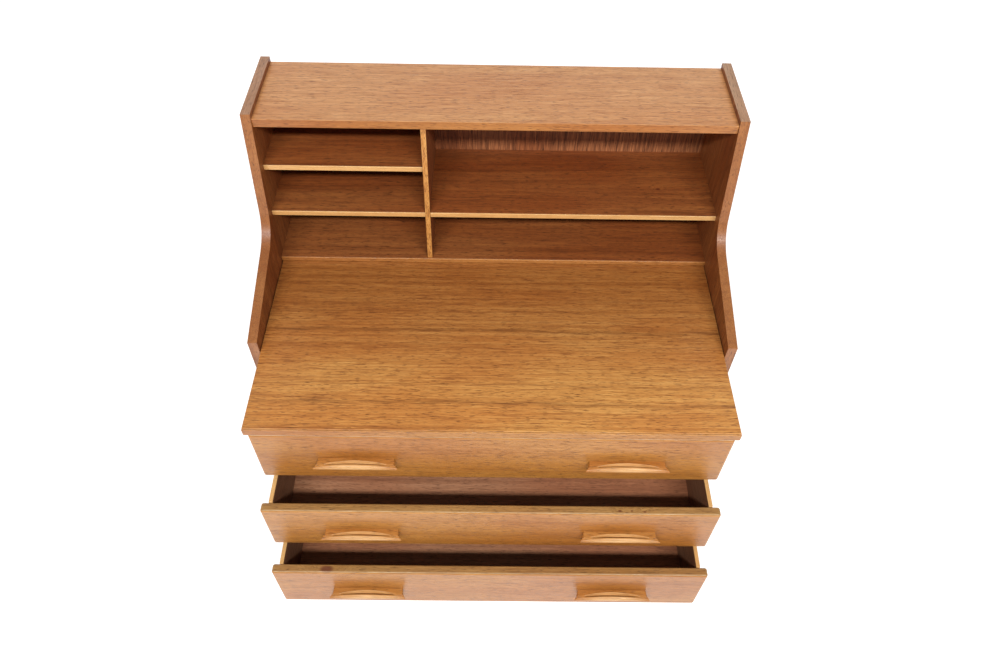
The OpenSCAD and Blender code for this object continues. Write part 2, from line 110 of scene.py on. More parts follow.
class Recipe:
    """The shader nodes of one finish, put together step by step."""

    def __init__(self, name: str) -> None:
        """Start an empty material.

        Args:
            name: The material's name.
        """
        self.material = bpy.data.materials.new(name)
        self.material.use_nodes = True
        self.tree = self.material.node_tree
        self.tree.nodes.clear()

    def add(self, kind: str, **settings: object) -> bpy.types.Node:
        """Add a node and set its properties.

        Args:
            kind: The node's type, without the ShaderNode in front.
            settings: Properties of the node and their values.

        Returns:
            The new node.
        """
        node = self.tree.nodes.new("ShaderNode" + kind)
        for key, value in settings.items():
            setattr(node, key, value)
        return node

    def feed(self, socket: bpy.types.NodeSocket, value: object) -> None:
        """Give a socket a link or a constant.

        Args:
            socket: The input socket.
            value: Another node's output socket, or a number, triple or colour.
        """
        if isinstance(value, bpy.types.NodeSocket):
            self.tree.links.new(value, socket)
        else:
            socket.default_value = value

    def math(self, operation: str, a: object, b: object = 0.0, c: object = 0.0) -> bpy.types.NodeSocket:
        """Do arithmetic on numbers.

        Args:
            operation: The Math node's operation.
            a: The first number or socket.
            b: The second number or socket.
            c: The third number or socket.

        Returns:
            The result's socket.
        """
        node = self.add("Math", operation=operation)
        for socket, value in zip(node.inputs, (a, b, c)):
            self.feed(socket, value)
        return node.outputs[0]

    def vector(self, operation: str, a: object, b: object) -> bpy.types.NodeSocket:
        """Do arithmetic on vectors.

        Args:
            operation: The Vector Math node's operation.
            a: The first vector or socket. A number counts as a vector of three equal parts.
            b: The second vector or socket.

        Returns:
            The result's socket: the number for a distance, the vector otherwise.
        """
        node = self.add("VectorMath", operation=operation)
        self.feed(node.inputs[0], a)
        self.feed(node.inputs[1], b)
        return node.outputs["Value" if operation == "DISTANCE" else "Vector"]

    def noise(self, at: object, size: Triple, detail: float = 2.0, rough: float = 0.5,
              colour: bool = False) -> bpy.types.NodeSocket:
        """Add noise whose features have a given size.

        Args:
            at: The point that the noise is read at, in metres.
            size: Size of a feature along, across and through the grain, in metres.
            detail: The number of finer layers.
            rough: The strength of the finer layers.
            colour: True for three separate values in place of one.

        Returns:
            The noise's socket.
        """
        spread = self.vector("DIVIDE", at, size)
        node = self.add("TexNoise", noise_dimensions="3D")
        self.feed(node.inputs["Vector"], spread)
        node.inputs["Scale"].default_value = 1.0
        node.inputs["Detail"].default_value = detail
        node.inputs["Roughness"].default_value = rough
        return node.outputs["Color" if colour else "Fac"]

    def between(self, value: object, low: float, high: float, start: float = 0.0,
                end: float = 1.0) -> bpy.types.NodeSocket:
        """Ease a value from one level to another.

        Args:
            value: The number or socket.
            low: The value at which the result is start.
            high: The value at which the result is end.
            start: The result below low.
            end: The result above high.

        Returns:
            The eased value's socket.
        """
        node = self.add("MapRange", interpolation_type="SMOOTHSTEP")
        for socket, number in zip(node.inputs, (value, low, high, start, end)):
            self.feed(socket, number)
        return node.outputs[0]

    def mix(self, share: object, a: object, b: object, blend: str = "MIX") -> bpy.types.NodeSocket:
        """Mix two colours.

        Args:
            share: How much of the second colour shows.
            a: The first colour.
            b: The second colour.
            blend: The way that they mix.

        Returns:
            The mixed colour's socket.
        """
        node = self.add("Mix", data_type="RGBA", blend_type=blend)
        self.feed(node.inputs[0], share)
        self.feed(node.inputs[6], a)
        self.feed(node.inputs[7], b)
        return node.outputs[2]

    def place(self, grain: Grain = Grain.ALONG_X) -> bpy.types.NodeSocket:
        """Read the piece's own coordinates with the grain laid along X.

        Args:
            grain: The grain's direction on the piece.

        Returns:
            The point's socket.
        """
        mapping = self.add("Mapping", vector_type="POINT")
        self.feed(mapping.inputs["Vector"], self.add("TexCoord").outputs["Object"])
        mapping.inputs["Rotation"].default_value = grain.value
        return mapping.outputs["Vector"]

    def dimple(self, height: object, depth: float) -> bpy.types.NodeSocket:
        """Turn a height into a bumped normal.

        Args:
            height: The height's socket, from 0 to 1.
            depth: The distance from the lowest to the highest point, in metres.

        Returns:
            The normal's socket.
        """
        node = self.add("Bump")
        node.inputs["Distance"].default_value = depth
        self.feed(node.inputs["Height"], height)
        return node.outputs["Normal"]

    def close(self, colour: object, roughness: object, normal: object,
              metallic: float = 0.0) -> bpy.types.Material:
        """End the recipe with its surface.

        Args:
            colour: The base colour.
            roughness: The roughness.
            normal: The bumped normal.
            metallic: 1 for bare metal.

        Returns:
            The finished material.
        """
        surface = self.add("BsdfPrincipled")
        self.feed(surface.inputs["Base Color"], colour)
        self.feed(surface.inputs["Roughness"], roughness)
        self.feed(surface.inputs["Normal"], normal)
        surface.inputs["Metallic"].default_value = metallic
        output = self.add("OutputMaterial")
        self.feed(output.inputs["Surface"], surface.outputs[0])
        return self.material


@dataclass(frozen=True)
class Streak:
    """A dark streak along the grain, at one distance across it.

    Attributes:
        across: Its place across the grain, in the piece's own coordinates.
        width: Its half width.
        strength: How much of the dark tone shows in it.
        wander: How far it strays sideways.
        bend_size, break_size: Sizes of its bends and of the breaks in it.
    """

    across: float
    width: float
    strength: float
    wander: float = 30 * MM
    bend_size: Triple = (0.2, 5.0, 5.0)
    break_size: Triple = (0.07, 0.0022, 0.0022)


@dataclass(frozen=True)
class Knot:
    """A small knot.

    Attributes:
        place: Its centre, with the grain laid along X.
        radius: The radius of its heart.
        squeeze: Its width as a share of its length along the grain.
        reach, push: How far from it the grain bends and how far it moves aside, in radii.
        rim: Where its heart starts to fade and where it ends, in radii.
    """

    place: Triple
    radius: float
    squeeze: float = 0.6
    reach: float = 4.0
    push: float = 1.6
    rim: tuple[float, float] = (0.45, 1.1)


@dataclass(frozen=True)
class PaintedShade:
    """Painted shade: a change of tone over a piece's depth, from none at the near side to full at the
    far side.

    Attributes:
        near: Where it begins along Y, in metres.
        far: Where it is full, in metres.
        shade_tint: The colour that multiplies the timber's tone to paint in the shade.
    """

    near: float
    far: float
    shade_tint: str


@dataclass(frozen=True)
class Timber:
    """A timber with its tones, its figure and its surface.

    Sizes and lengths are in metres, and a share says how strongly a feature shows.

    Attributes:
        name: The material's name.
        slot: The record's material slot, which is not used here.
        light, mid, dark: The tones of its bands and fibres.
        pore: The tone of open pores and streaks.
        warm: The colour that multiplies its warmer patches.
        knot: The tone of a knot's heart.
        band, fibre, pore_width: Sizes across the grain.
        ribbon, ribbon_size: Sizes of a shimmering ribbon along and across the grain.
        drift_size, patch_size: Sizes of the grain's wander and of the warmer patches.
        sway: How far the grain wanders sideways.
        relief: The depth of the fibres and pores.
        rub_and_highlight: How much of the light tone shows on used edges and on painted highlights.
    """

    name: str
    slot: str
    light: str
    mid: str
    dark: str
    pore: str
    warm: str
    knot: str = "#5a2412"
    band: float = 0.009
    band_length: float = 0.9
    band_share: float = 0.45
    fibre: float = 0.0024
    fibre_length: float = 0.05
    fibre_share: float = 0.55
    pore_width: float = 0.0012
    pore_length: float = 0.014
    pore_share: float = 0.75
    ribbon: float = 0.014
    ribbon_share: float = 0.02
    ribbon_size: float = 0.05
    drift_size: Triple = (0.55, 0.09, 0.09)
    patch_size: Triple = (0.42, 0.12, 0.12)
    warm_share: float = 0.5
    knot_share: float = 0.85
    pore_depth: float = 0.8
    sway: float = 0.012
    roughness: float = 0.42
    relief: float = 0.00012
    rub_and_highlight: float = 0.25

    def material(self, grain: Grain, shift: Triple = (0, 0, 0), streaks: tuple[Streak, ...] = (),
                 knots: tuple[Knot, ...] = (), painted_shades: tuple[PaintedShade, ...] = ()) -> bpy.types.Material:
        """Make the timber's material for one piece.

        Args:
            grain: The grain's direction on the piece.
            shift: Where in the timber the piece was cut.
            streaks: Dark streaks along the grain.
            knots: Knots in the piece.
            painted_shades: Painted shade over the piece's depth.

        Returns:
            The material.
        """
        make = Recipe(self.name)
        own = make.place(grain)
        at = make.vector("ADD", own, shift)
        drift = make.noise(at, self.drift_size, detail=1.5, colour=True)
        centred = make.vector("SUBTRACT", drift, (0.5, 0.5, 0.5))
        sway = make.vector("MULTIPLY", centred, (0.0, self.sway, self.sway))
        bent = make.vector("ADD", at, sway)
        heart: object = 0.0
        for knot in knots:
            bent, heart = self._knot(make, own, bent, heart, knot)
        bands = make.noise(bent, (self.band_length, self.band, self.band), 4.0, 0.6)
        fibres = make.noise(bent, (self.fibre_length, self.fibre, self.fibre), 2.0, 0.6)
        pores = make.noise(bent, (self.pore_length, self.pore_width, self.pore_width), 1.0)
        patches = make.noise(at, self.patch_size, 1.0)
        ribbons = make.noise(at, (self.ribbon, self.ribbon_size, self.ribbon_size), 2.0)

        pale = make.math("MULTIPLY", make.between(bands, *PALE_BANDS, 1.0, 0.0), self.band_share)
        tone = make.mix(pale, shade(self.mid), shade(self.light))
        deep = make.math("MULTIPLY", make.between(bands, *DEEP_BANDS), self.band_share)
        tone = make.mix(deep, tone, shade(self.dark))
        rise = make.math("MULTIPLY", make.between(fibres, *DEEP_FIBRES), self.fibre_share)
        tone = make.mix(rise, tone, shade(self.dark))
        sheen = make.math("MULTIPLY", make.between(fibres, *PALE_FIBRES, 1.0, 0.0), self.fibre_share)
        tone = make.mix(sheen, tone, shade(self.light))
        warmth = make.math("MULTIPLY", make.between(patches, *WARM_PATCHES), self.warm_share)
        tone = make.mix(warmth, tone, shade(self.warm), "MULTIPLY")
        for streak in streaks:
            tone = self._streak(make, tone, own, at, streak)
        # Painted shade: darken the tone over the piece's depth.
        for painted_shade in painted_shades:
            depth = make.add("SeparateXYZ")
            make.feed(depth.inputs[0], own)
            share = make.between(depth.outputs["Y"], painted_shade.near, painted_shade.far)
            tone = make.mix(share, tone, shade(painted_shade.shade_tint), "MULTIPLY")
        hollow = make.between(pores, *OPEN_PORES)
        tone = make.mix(make.math("MULTIPLY", hollow, self.pore_share), tone, shade(self.pore))
        shimmer = make.between(ribbons, *MIDDLE_NOISE, 1.0 - self.ribbon_share, 1.0 + self.ribbon_share)
        tone = make.mix(1.0, tone, shimmer, "MULTIPLY")
        tone = make.mix(make.math("MULTIPLY", heart, self.knot_share), tone, shade(self.knot))
        # Lighten the faces in the edge layer: real wear on rounded edges, painted highlight on the
        # handles.
        scuff_and_highlight_mask = make.add("Attribute", attribute_name=EDGE_LAYER).outputs["Fac"]
        scuff_and_highlight_amount = make.between(fibres, *MIDDLE_NOISE, self.rub_and_highlight, self.rub_and_highlight * 0.4)
        scuff_and_highlight_share = make.math("MULTIPLY", scuff_and_highlight_mask, scuff_and_highlight_amount)
        tone = make.mix(scuff_and_highlight_share, tone, shade(self.light))

        rough = make.between(fibres, *MIDDLE_NOISE, self.roughness - 0.05, self.roughness + 0.07)
        height = make.math("SUBTRACT", fibres, make.math("MULTIPLY", hollow, self.pore_depth))
        return make.close(tone, rough, make.dimple(height, self.relief))

    def _knot(self, make: Recipe, own: object, bent: object, heart: object,
              knot: Knot) -> tuple[bpy.types.NodeSocket, bpy.types.NodeSocket]:
        """Bend the grain round one knot, and add its heart.

        Args:
            make: The recipe.
            own: The piece's coordinates.
            bent: The timber's coordinates so far.
            heart: The hearts of the knots so far, from 0 to 1.
            knot: The knot.

        Returns:
            The bent coordinates and the hearts, with the knot in both.
        """
        centre = (knot.place[0] * knot.squeeze, knot.place[1], knot.place[2])
        away = make.vector("DISTANCE", make.vector("MULTIPLY", own, (knot.squeeze, 1.0, 1.0)), centre)
        near = make.between(away, knot.radius, knot.radius * knot.reach, 1.0, 0.0)
        push = make.math("MULTIPLY", near, knot.radius * knot.push)
        bent = make.vector("ADD", bent, make.vector("MULTIPLY", (0.0, 1.0, 0.7), push))
        start, end = (knot.radius * part for part in knot.rim)
        return bent, make.math("MAXIMUM", heart, make.between(away, start, end, 1.0, 0.0))

    def _streak(self, make: Recipe, tone: object, own: object, at: object,
                streak: Streak) -> bpy.types.NodeSocket:
        """Lay one dark streak over the timber's tone.

        Args:
            make: The recipe.
            tone: The tone so far.
            own: The piece's coordinates.
            at: The timber's coordinates.
            streak: The streak.

        Returns:
            The tone with the streak in it.
        """
        parts = make.add("SeparateXYZ")
        make.feed(parts.inputs[0], own)
        wander = make.noise(at, streak.bend_size, 3.0, 0.6)
        centred = make.math("SUBTRACT", wander, 0.5)
        line = make.math("MULTIPLY_ADD", centred, streak.wander, parts.outputs["Y"])
        gap = make.math("ABSOLUTE", make.math("SUBTRACT", line, streak.across))
        body = make.between(gap, 0.0, streak.width, streak.strength, 0.0)
        broken = make.noise(at, streak.break_size, 3.0, 0.65)
        share = make.math("MULTIPLY", body, make.between(broken, *STREAK_BREAKS))
        return make.mix(share, tone, shade(self.pore))


@dataclass(frozen=True)
class Plain:
    """A finish with an even colour: zinced steel or moulded plastic.

    Attributes:
        name: The material's name.
        slot: The record's material slot, which is not used here.
        colour, stain: Its main tone and its mottling.
        metallic: 1 for bare metal.
        roughness: The roughness.
        mottle, scuff: The sizes of its mottling and of its scuffs, in metres.
        scuff_depth: The depth of the scuffs.
    """

    name: str
    slot: str
    colour: str
    stain: str
    metallic: float
    roughness: float
    mottle: float = 2 * MM
    scuff: float = 0.5 * MM
    scuff_depth: float = 0.03 * MM

    def material(self) -> bpy.types.Material:
        """Make the material.

        Returns:
            The material, faintly mottled and brushed.
        """
        make = Recipe(self.name)
        at = make.place()
        mottle = make.noise(at, (self.mottle,) * 3, 3.0, 0.6)
        scuffs = make.noise(at, (self.scuff,) * 3, 2.0)
        tone = make.mix(make.between(mottle, *STAINS), shade(self.colour), shade(self.stain))
        rough = make.between(mottle, *MIDDLE_NOISE, self.roughness - 0.08, self.roughness + 0.1)
        return make.close(tone, rough, make.dimple(scuffs, self.scuff_depth), self.metallic)


VENEER = Timber(
    name="golden_teak_veneer", slot="teak_veneer",
    light="#d8a15a", mid="#c38642", dark="#935a28", pore="#63340f", warm="#e6c4a0", fibre_share=0.85,
)
# Paler than the other veneer: the paler tone partly paints in the sheen of light on the top board.
PALE_TOP_VENEER = Timber(
    name="pale_top_teak_veneer", slot="teak_veneer",
    light="#d39b61", mid="#c18650", dark="#a26638", pore="#744624", warm="#f0dcc8",
    band_share=0.3, fibre_share=0.8, ribbon_share=0.01, roughness=0.38,
)
FRONT_TEAK = Timber(
    name="drawer_front_teak", slot="teak_veneer",
    light="#c08745", mid="#a86f31", dark="#87511f", pore="#633918", warm="#ecd0b4",
    band=0.02, band_share=0.3, fibre_share=0.6, roughness=0.32, rub_and_highlight=0.4,
)
FRONT_EDGE = Timber(
    name="drawer_front_edge_teak", slot="teak_veneer",
    light="#ad8650", mid="#986f3d", dark="#785328", pore="#543418", warm="#ecd4bc",
    band=0.02, band_share=0.3, fibre_share=0.6, roughness=0.36, rub_and_highlight=0.5,
)
SOLID = Timber(
    name="solid_teak", slot="teak_solid",
    light="#c28545", mid="#a96d35", dark="#8c5023", pore="#6c3e1c", warm="#ecd0b4",
    band=0.01, band_length=0.8, band_share=0.3, fibre_share=0.5, roughness=0.34, rub_and_highlight=0.4,
)
EDGE_TEAK = Timber(
    name="side_edge_teak", slot="teak_veneer",
    light="#ae7440", mid="#985f31", dark="#7c4721", pore="#5c351a", warm="#e0c8b4",
    band=0.01, band_length=0.8, band_share=0.3, fibre_share=0.5, roughness=0.38, rub_and_highlight=0.4,
)
TOP_EDGE_TEAK = Timber(
    name="side_top_edge_teak", slot="teak_veneer",
    light="#b98f6c", mid="#a47a58", dark="#84603f", pore="#5c402a", warm="#ecd4c8",
    band=0.01, band_length=0.8, band_share=0.3, fibre_share=0.5, roughness=0.42, rub_and_highlight=0.6,
)
# The handle's light tone is what paints its highlight on the scoop and the lip.
HANDLE_TEAK = Timber(
    name="carved_teak", slot="teak_solid",
    light="#dcae72", mid="#ae7434", dark="#8f5622", pore="#63391a", warm="#ecd0b4",
    band=0.01, band_length=0.5, band_share=0.08, fibre_share=0.12, roughness=0.36, rub_and_highlight=0.8,
)
LEG_TEAK = Timber(
    name="turned_teak", slot="teak_solid",
    light="#b97f45", mid="#a56c38", dark="#824e26", pore="#50301a", warm="#e6c8a8",
    band=0.008, band_length=0.6, roughness=0.34,
)
DARK_TEAK = Timber(
    name="dark_inside_teak", slot="teak_inside",
    light="#a26432", mid="#8c5027", dark="#653516", pore="#42200c", warm="#e0b898",
    band=0.014, sway=0.03, band_length=0.5, band_share=0.5, fibre_share=0.6, roughness=0.45,
)
BLOND = Timber(
    name="blond_lipping", slot="pale_lipping",
    light="#e6bb7c", mid="#d8a96c", dark="#bc8c56", pore="#98662e", warm="#f4e0c8",
    band=0.006, band_share=0.3, roughness=0.3, pore_share=0.3, rub_and_highlight=0.3,
)
RIBBON_PLY = Timber(
    name="ribbon_back_ply", slot="back_ply",
    light="#c07c4e", mid="#935a37", dark="#5c341d", pore="#281309", warm="#e8c8b0",
    band=0.006, band_share=0.5, fibre=0.0022, fibre_share=0.8,
    pore_length=0.03, roughness=0.5,
)
BEECH = Timber(
    name="pale_beech", slot="beech",
    light="#dcb478", mid="#cda064", dark="#b5864c", pore="#96693a", warm="#f4e4d0",
    band=0.016, pore_width=0.0007, pore_length=0.004, pore_share=0.4, roughness=0.5, rub_and_highlight=0.2,
)
DRAWER_PLY = Timber(
    name="brown_drawer_ply", slot="drawer_ply",
    light="#b98765", mid="#a06e4e", dark="#7e5138", pore="#5c3823", warm="#ecc8b4",
    band=0.018, band_share=0.5, roughness=0.48,
)
SIDE_BROWN = Timber(
    name="brown_drawer_side", slot="beech",
    light="#8c6448", mid="#765038", dark="#5a3a26", pore="#3e2617", warm="#ecd0bc",
    band=0.018, band_share=0.4, roughness=0.5,
)
STEEL = Plain("zinced_steel", "steel", "#c4c4bf", "#9a9a94", metallic=1.0, roughness=0.34)
NYLON = Plain("nylon_glide", "glide_plastic", "#e6e1d4", "#d2cbbb", metallic=0.0, roughness=0.45)


def cad_copy(node: str) -> bmesh.types.BMesh:
    """Copy a node's mesh, with its corners merged and its flat faces whole.

    Args:
        node: The node's name.

    Returns:
        The copied mesh.
    """
    bm = bmesh.new()
    bm.from_mesh(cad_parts[node].data)
    bmesh.ops.remove_doubles(bm, verts=bm.verts, dist=MERGE_GAP)
    bmesh.ops.dissolve_limit(bm, angle_limit=math.radians(0.5), verts=bm.verts, edges=bm.edges)
    return bm


def board(low: Vector, high: Vector) -> bmesh.types.BMesh:
    """Make a plain board between two corners.

    Args:
        low: The lowest corner.
        high: The highest corner.

    Returns:
        The board's mesh.
    """
    bm = bmesh.new()
    size = Matrix.Diagonal((*(high - low), 1.0))
    bmesh.ops.create_cube(bm, size=1.0, matrix=Matrix.Translation((low + high) / 2) @ size)
    return bm


def sharp_edges(bm: bmesh.types.BMesh, least: float = 35.0) -> list[bmesh.types.BMEdge]:
    """Find the edges where two faces meet in an outside corner.

    Args:
        bm: The mesh.
        least: The least angle between the faces, in degrees.

    Returns:
        The edges.
    """
    limit = math.radians(least)
    return [e for e in bm.edges if e.is_manifold and e.is_convex and e.calc_face_angle() > limit]


def ease(bm: bmesh.types.BMesh, radius: float, segments: int = 3,
         edges: list[bmesh.types.BMEdge] | None = None) -> None:
    """Round a mesh's outside edges, and mark the rounding as an edge lightened by use.

    Args:
        bm: The mesh.
        radius: The rounding's width on each face.
        segments: The number of faces across the rounding.
        edges: The edges to round, or None for every sharp one.
    """
    layer = bm.faces.layers.float.get(EDGE_LAYER) or bm.faces.layers.float.new(EDGE_LAYER)
    chosen = sharp_edges(bm) if edges is None else edges
    made = bmesh.ops.bevel(bm, geom=chosen, offset=radius, offset_type="OFFSET", segments=segments,
                           profile=0.5, affect="EDGES", clamp_overlap=True, material=-1)
    for face in made["faces"]:
        face[layer] = 1.0


def seat(bm: bmesh.types.BMesh, node: str, body: str, materials: list[bpy.types.Material],
         sides: dict[Side, int] | None = None, crisp: float = 40.0) -> bpy.types.Object:
    """Turn a mesh into a dressed piece that rides on its body and stands for one node.

    Args:
        bm: The mesh, in place.
        node: The node that it stands for.
        body: The body that it moves with.
        materials: The piece's materials, the first of them for every side that isn't named.
        sides: The material's number for the faces that look each way.
        crisp: The least angle, in degrees, that shows as a crisp edge.

    Returns:
        The piece.
    """
    for face in bm.faces:
        face.smooth = True
        for side, number in (sides or {}).items():
            if face.normal.dot(Vector(side.value)) > FACING:
                face.material_index = number
    name = node + "_made"
    mesh = bpy.data.meshes.new(name)
    bm.to_mesh(mesh)
    bm.free()
    mesh.set_sharp_from_angle(angle=math.radians(crisp))
    for material in materials:
        mesh.materials.append(material)
    piece = bpy.data.objects.new(name, mesh)
    bpy.context.scene.collection.objects.link(piece)
    weigh = piece.modifiers.new("even_normals", "WEIGHTED_NORMAL")
    weigh.keep_sharp = True
    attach(piece, body)
    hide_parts(node)
    LOG.info("%s: %d faces on %s", name, len(mesh.polygons), body)
    return piece


def wooden(node: str, body: str, timber: Timber, grain: Grain, shift: Triple = (0, 0, 0),
           radius: float = 0.8 * MM, copy: bool = True) -> bpy.types.Object:
    """Make one eased wooden piece over a node.

    Args:
        node: The node's name.
        body: The body that it moves with.
        timber: The timber.
        grain: The direction of its grain.
        shift: Where in the timber the piece was cut.
        radius: The rounding of its edges.
        copy: True where the node has grooves or bores, False for a plain board.

    Returns:
        The piece.
    """
    bm = cad_copy(node) if copy else board(*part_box(node))
    ease(bm, radius)
    return seat(bm, node, body, [timber.material(grain, shift)])


@dataclass
class Hutch:
    """The top board, the shelves with their lippings, the divider, the hutch floor and the back."""

    body: str = "case"
    edge: float = 0.8 * MM
    crisp_edge: float = 0.3 * MM
    back_edge: float = 0.4 * MM
    lipping_round: float = 2.4 * MM
    # Each shelf's tint is painted shade: it darkens the shelf towards the back, deepest on the least lit
    # shelf.
    shelves: tuple[tuple[str, str], ...] = (("upper_left", "#c2b0a6"), ("lower_left", "#d6c4b8"),
                                            ("right", "#eadccf"))
    knot_back: float = 120 * MM
    knot_right: float = 104 * MM
    knot_radius: float = 3.5 * MM

    def build(self) -> None:
        """Build the hutch's pieces in order."""
        self.top_board()
        self.floor()
        for number, (name, shade_tint) in enumerate(self.shelves):
            self.shelf(name, number, shade_tint)
        self.divider()
        self.back()

    def top_board(self) -> None:
        """Make the paler top board, whose tone partly paints in the sheen on its top, with its glossier
        front edge.
        """
        bm = board(*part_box("top_board"))
        ease(bm, self.edge)
        materials = [PALE_TOP_VENEER.material(Grain.ALONG_X, (1.3, 0.4, 0.0)), SOLID.material(Grain.ALONG_X)]
        seat(bm, "top_board", self.body, materials, {Side.FRONT: 1})

    def floor(self) -> None:
        """Make the hutch floor and its rounded lipping."""
        wooden("hutch_floor", self.body, DARK_TEAK, Grain.ALONG_X, (0.2, 0.7, 0.0),
               self.crisp_edge, False)
        wooden("hutch_floor_lipping", self.body, SOLID, Grain.ALONG_X, (0.5, 0.1, 0.2),
               self.lipping_round, False)

    def shelf(self, name: str, number: int, shade_tint: str) -> None:
        """Make one shelf and its blond lipping.

        Args:
            name: The shelf's place.
            number: Its number, which sets where its timber was cut.
            shade_tint: What its timber is multiplied by at the back, painting in the shade there.
        """
        node = "shelf_" + name
        low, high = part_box(node)
        knots = ()
        if name == "right":
            centre = (high.x - self.knot_right, high.y - self.knot_back, high.z)
            knots = (Knot(centre, self.knot_radius),)
        bm = board(low, high)
        ease(bm, self.crisp_edge)
        # The tint paints in the shade towards the shelf's back.
        material = DARK_TEAK.material(Grain.ALONG_X, (number * 1.7, number * 0.9, 0.3), knots=knots,
                                      painted_shades=(PaintedShade(low.y, high.y, shade_tint),))
        seat(bm, node, self.body, [material])
        wooden("shelf_lipping_" + name, self.body, BLOND, Grain.ALONG_X, (number * 0.8, 0.0, 0.0),
               self.lipping_round, False)

    def divider(self) -> None:
        """Make the divider, dark on its faces and golden on its front edge."""
        bm = cad_copy("divider")
        ease(bm, self.edge)
        materials = [DARK_TEAK.material(Grain.ALONG_Z, (0.6, 0.2, 0.0)), VENEER.material(Grain.ALONG_Z)]
        seat(bm, "divider", self.body, materials, {Side.FRONT: 1})

    def back(self) -> None:
        """Make the back panel, with upright ribbon figure on both faces."""
        wooden("back_panel", self.body, RIBBON_PLY, Grain.ALONG_Z, (0.0, 0.3, 0.1), self.back_edge)


@dataclass
class Case:
    """The side panels, the bottom, the stiles, the rails and all that guides the drawers.

    Attributes:
        body: The body that the pieces ride on.
        edge: The rounding of the side panels' edges.
        level: How far up a face has to look to count as a panel's level upper edge.
    """

    body: str = "case"
    edge: float = 1.2 * MM
    level: float = 0.97

    def build(self) -> None:
        """Build the case's pieces in order."""
        for number, side in enumerate(("left", "right")):
            self.side_panel(side, number)
        wooden("case_bottom", self.body, LEG_TEAK, Grain.ALONG_X, (0.9, 0.9, 0.0))
        wooden("front_stiles", self.body, SOLID, Grain.ALONG_Z)
        for number, name in enumerate(("rail_upper", "rail_lower")):
            wooden(name, self.body, SOLID, Grain.ALONG_X, (number * 0.9, 0.0, 0.0))
        for number, name in enumerate(("runners_upper", "runners_lower", "guides_bottom",
                                       "board_bearers", "drawer_stops")):
            wooden(name, self.body, BEECH, Grain.ALONG_Y, (number * 0.7, 0.0, 0.0))

    def side_panel(self, side: str, number: int) -> None:
        """Make one waisted side panel.

        Args:
            side: left or right.
            number: Its number, which sets where its timber was cut.
        """
        node = "side_panel_" + side
        bm = cad_copy(node)
        ease(bm, self.edge)
        shift = (number * 1.9, number * 0.8, 0.0)
        # The inner face takes the darker inside teak, which paints in part of the shade that falls on
        # it.
        materials = [EDGE_TEAK.material(Grain.ALONG_Z, shift), VENEER.material(Grain.ALONG_Z, shift),
                     DARK_TEAK.material(Grain.ALONG_Z, shift),
                     TOP_EDGE_TEAK.material(Grain.ALONG_Y, shift)]
        outer, inner = (Side.LEFT, Side.RIGHT) if side == "left" else (Side.RIGHT, Side.LEFT)
        for face in bm.faces:
            face.material_index = 3 if face.normal.z > self.level else 0
        seat(bm, node, self.body, materials, {outer: 1, inner: 2})


@dataclass
class Base:
    """The rails, legs, glides, cleats and screws under the case."""

    body: str = "case"
    edge: float = 1.5 * MM
    head_height: float = 70 * MM
    head_margin: float = 0.5 * MM
    foot_radius: float = 12 * MM
    foot_chamfer: float = 1.5 * MM
    foot_rim: float = 2 * MM
    bead: float = 1.5 * MM
    tenon: float = 6 * MM
    swell: float = 0.6 * MM
    taper_steps: int = 8
    turning_steps: int = 48

    def build(self) -> None:
        """Build the base's pieces in order."""
        for number, side in enumerate(("front", "back", "left", "right")):
            grain = Grain.ALONG_X if side in ("front", "back") else Grain.ALONG_Y
            wooden("base_rail_" + side, self.body, LEG_TEAK, grain, (number * 0.6, 0.0, 0.0),
                   self.edge, False)
        for number, name in enumerate(("front_left", "front_right", "back_left", "back_right")):
            self.leg("leg_" + name, number)
        wooden("base_cleats", self.body, BEECH, Grain.ALONG_Y, (0.4, 0.4, 0.0))
        for node, finish in (("leg_glides", NYLON), ("base_screws", STEEL), ("back_screws", STEEL)):
            hardware(node, self.body, finish)

    def leg(self, node: str, number: int) -> None:
        """Turn one leg: a square head with a shoulder, over a shank that tapers to the glide.

        Args:
            node: The leg's node.
            number: Its number, which sets where its timber was cut.
        """
        low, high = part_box(node)
        centre = (low + high) / 2
        shoulder = high.z - self.head_height
        bm = board(Vector((low.x, low.y, shoulder)), high)
        ease(bm, self.edge)
        top_radius = (high.x - low.x) / 2 - self.head_margin
        taper_top = shoulder - 2 * self.bead
        taper_end = low.z + self.foot_rim
        outline = [(0.0, shoulder + self.tenon), (top_radius - self.bead, shoulder + self.tenon),
                   (top_radius - self.bead, shoulder - self.bead), (top_radius, taper_top)]
        for step in range(1, self.taper_steps + 1):
            share = step / self.taper_steps
            swell = math.sin(share * math.pi) * self.swell
            radius = top_radius + (self.foot_radius - top_radius) * share + swell
            outline.append((radius, taper_top + (taper_end - taper_top) * share))
        outline += [(self.foot_radius - self.foot_chamfer, low.z), (0.0, low.z)]
        verts = [bm.verts.new((centre.x + r, centre.y, z)) for r, z in outline]
        edges = [bm.edges.new(pair) for pair in zip(verts, verts[1:])]
        bmesh.ops.spin(bm, geom=verts + edges, cent=centre, axis=(0, 0, 1), angle=math.tau,
                       steps=self.turning_steps, use_merge=True)
        bmesh.ops.remove_doubles(bm, verts=bm.verts, dist=MERGE_GAP)
        bmesh.ops.recalc_face_normals(bm, faces=bm.faces)
        seat(bm, node, self.body,
             [LEG_TEAK.material(Grain.ALONG_Z, (number * 0.8, 0.0, 0.0))])


def hardware(node: str, body: str, finish: Plain) -> None:
    """Make the metal or plastic pieces of one node, with eased edges.

    Args:
        node: The node's name.
        body: The body that they move with.
        finish: Their finish.
    """
    bm = cad_copy(node)
    ease(bm, HARDWARE_EDGE, 2)
    seat(bm, node, body, [finish.material()])


